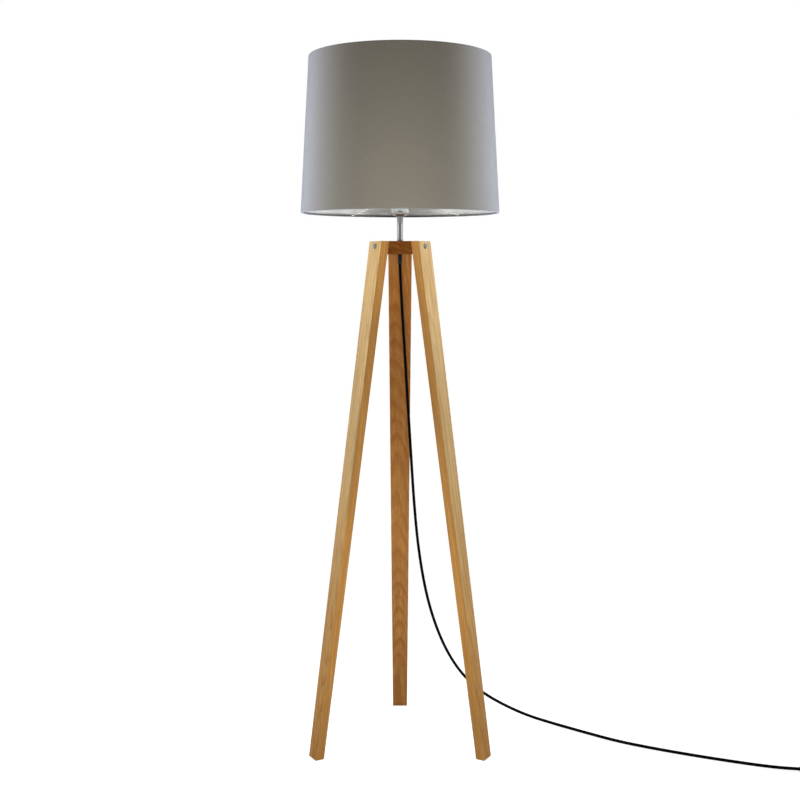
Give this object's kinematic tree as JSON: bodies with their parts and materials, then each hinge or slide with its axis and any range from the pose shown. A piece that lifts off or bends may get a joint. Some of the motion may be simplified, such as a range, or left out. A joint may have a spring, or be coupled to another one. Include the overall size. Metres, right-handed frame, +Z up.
{
  "type": "tripod floor lamp",
  "caption": "Floor lamp on three tapered oak legs bolted to a hexagonal block, with a short metal stem, an E27 holder, a tapered grey drum shade and a black cord with a foot switch.",
  "frame": {"origin": "on the floor, on the upright axis of stem and shade", "axes": "+Z up; the front between two legs faces -Y, one leg stands at +Y, and the cord runs away to +X"},
  "size_m": [1.2102, 0.45, 1.5468],
  "materials": {
    "oak_light": "oiled oak, straight grain",
    "oak_dark": "stained oak block",
    "beech": "plain beech dowel",
    "bright_steel": "polished nickel-plated steel",
    "zinc_steel": "zinc-plated steel",
    "brass": "plain brass",
    "black_rubber": "soft black sheath, satin",
    "black_plastic": "fine moulded grain",
    "brown_core": "insulated core",
    "ceramic": "white glazed ceramic",
    "black_glass": "black glass insulator",
    "white_plastic": "white thermoplastic",
    "white_enamel": "white enamelled wire",
    "opal": "opal diffuser, satin",
    "lining": "white film lining",
    "grey_textile": "plain weave grey textile",
    "board": "white board with yellow diodes"
  },
  "bodies": {
    "lamp": {"head_block": "oak_dark", "leg_front_left": "oak_light", "leg_front_right": "oak_light", "leg_rear": "oak_light", "leg_bolts": "bright_steel", "leg_inserts": "brass", "leg_dowels": "beech", "threaded_tube": "zinc_steel", "clamp_washer": "zinc_steel", "clamp_nut": "zinc_steel", "stem_tube": "bright_steel", "cup_nut": "zinc_steel", "cord_bushing": "black_plastic", "holder_cup": "bright_steel", "holder_base": "ceramic", "holder_terminals": "brass", "holder_contact": "brass", "holder_shell": "brass", "holder_skirt": "white_plastic", "shade_seat_ring": "white_plastic", "shade_lock_ring": "white_plastic", "shade_lining": "lining", "shade_fabric": "grey_textile", "shade_bottom_wire": "white_enamel", "shade_top_wire": "white_enamel", "spider_ring": "white_enamel", "spider_arms": "white_enamel", "bulb_contact": "brass", "bulb_insulator": "black_glass", "bulb_cap": "zinc_steel", "bulb_housing": "white_plastic", "bulb_board": "board", "bulb_globe": "opal", "inner_lead": "black_rubber", "inner_cores": "brown_core", "cord_to_switch": "black_rubber", "cord_to_coil": "black_rubber", "cord_to_plug": "black_rubber", "cord_coil": "black_rubber", "coil_tie": "black_plastic", "switch_base": "black_plastic", "switch_cover": "black_plastic", "switch_contacts": "brass", "switch_screws": "zinc_steel", "switch_spring": "zinc_steel", "plug_body": "black_plastic", "plug_pins": "brass"},
    "foot_button": {"switch_button": "black_plastic", "switch_bridge": "brass"}
  },
  "joints": [
    {"name": "foot_switch_press", "type": "slide", "parent": "lamp", "child": "foot_button", "axis": [0, 0, -1], "range_m": [0, 0.003], "stiffness_N_per_m": 600, "springref_m": -0.003, "deforming": ["switch_spring"]}
  ]
}
